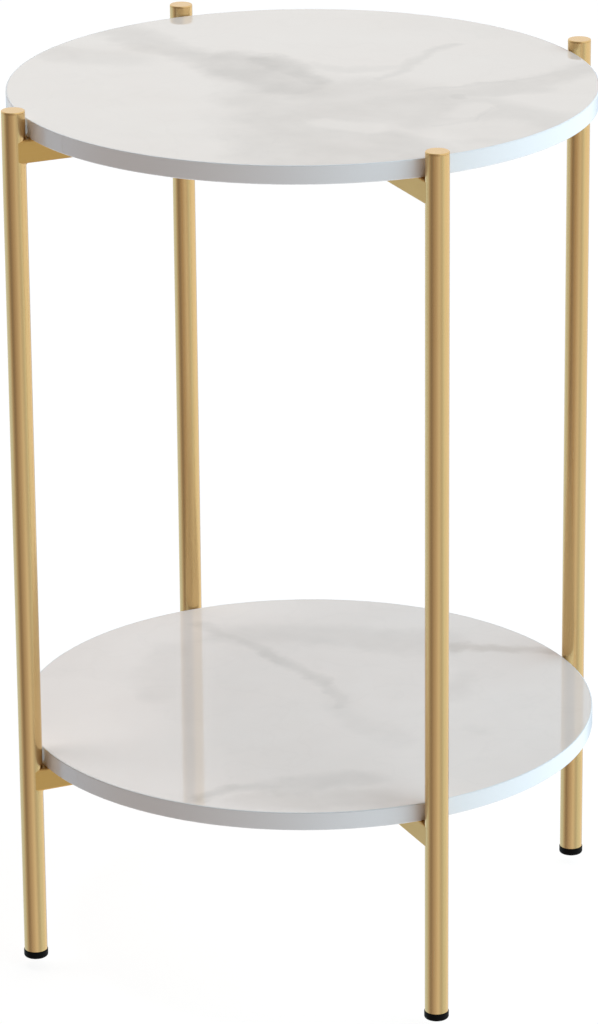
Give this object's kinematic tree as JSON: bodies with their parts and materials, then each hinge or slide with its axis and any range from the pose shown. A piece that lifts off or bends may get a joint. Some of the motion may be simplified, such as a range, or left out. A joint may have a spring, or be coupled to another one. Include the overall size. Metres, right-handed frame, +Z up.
{
  "type": "side table",
  "caption": "Tall round side table: a marble-look top and a lower shelf held on crossed rails between slim gold tube legs with black levelling feet.",
  "frame": {"origin": "on the floor, on the table's vertical axis", "axes": "+Z up; the crossed rails run along X and Y, so the legs stand at -Y (front), +X (right), +Y (back) and -X (left)"},
  "size_m": [0.4352, 0.4352, 0.61],
  "materials": {
    "mdf_core": "bare fibreboard",
    "marble_laminate": "high-gloss marble-look laminate",
    "backing_laminate": "plain matt backing sheet",
    "white_edge_band": "gloss white edge band",
    "gold_steel": "satin gold finish on steel tube",
    "zinc_steel": "zinc-plated steel",
    "black_nylon": "moulded black nylon"
  },
  "bodies": {
    "frame": {"top_core": "mdf_core", "shelf_core": "mdf_core", "top_marble_face": "marble_laminate", "shelf_marble_face": "marble_laminate", "top_backing": "backing_laminate", "shelf_backing": "backing_laminate", "top_edge_band": "white_edge_band", "shelf_edge_band": "white_edge_band", "upper_rail_x": "gold_steel", "upper_rail_y": "gold_steel", "lower_rail_x": "gold_steel", "lower_rail_y": "gold_steel", "leg_front": "gold_steel", "leg_right": "gold_steel", "leg_back": "gold_steel", "leg_left": "gold_steel", "leg_cap_front": "gold_steel", "leg_cap_right": "gold_steel", "leg_cap_back": "gold_steel", "leg_cap_left": "gold_steel", "top_board_screws": "zinc_steel", "shelf_board_screws": "zinc_steel", "upper_cross_bolt": "zinc_steel", "lower_cross_bolt": "zinc_steel", "upper_insert_nut": "zinc_steel", "lower_insert_nut": "zinc_steel", "foot_insert_front": "black_nylon", "foot_insert_right": "black_nylon", "foot_insert_back": "black_nylon", "foot_insert_left": "black_nylon"},
    "front_leveller": {"foot_front": "black_nylon", "leveller_stud_front": "zinc_steel"},
    "right_leveller": {"foot_right": "black_nylon", "leveller_stud_right": "zinc_steel"},
    "back_leveller": {"foot_back": "black_nylon", "leveller_stud_back": "zinc_steel"},
    "left_leveller": {"foot_left": "black_nylon", "leveller_stud_left": "zinc_steel"}
  },
  "joints": [
    {"name": "front_foot_level", "type": "slide", "parent": "frame", "child": "front_leveller", "axis": [0, 0, -1], "range_m": [0, 0.008]},
    {"name": "right_foot_level", "type": "slide", "parent": "frame", "child": "right_leveller", "axis": [0, 0, -1], "range_m": [0, 0.008]},
    {"name": "back_foot_level", "type": "slide", "parent": "frame", "child": "back_leveller", "axis": [0, 0, -1], "range_m": [0, 0.008]},
    {"name": "left_foot_level", "type": "slide", "parent": "frame", "child": "left_leveller", "axis": [0, 0, -1], "range_m": [0, 0.008]}
  ]
}
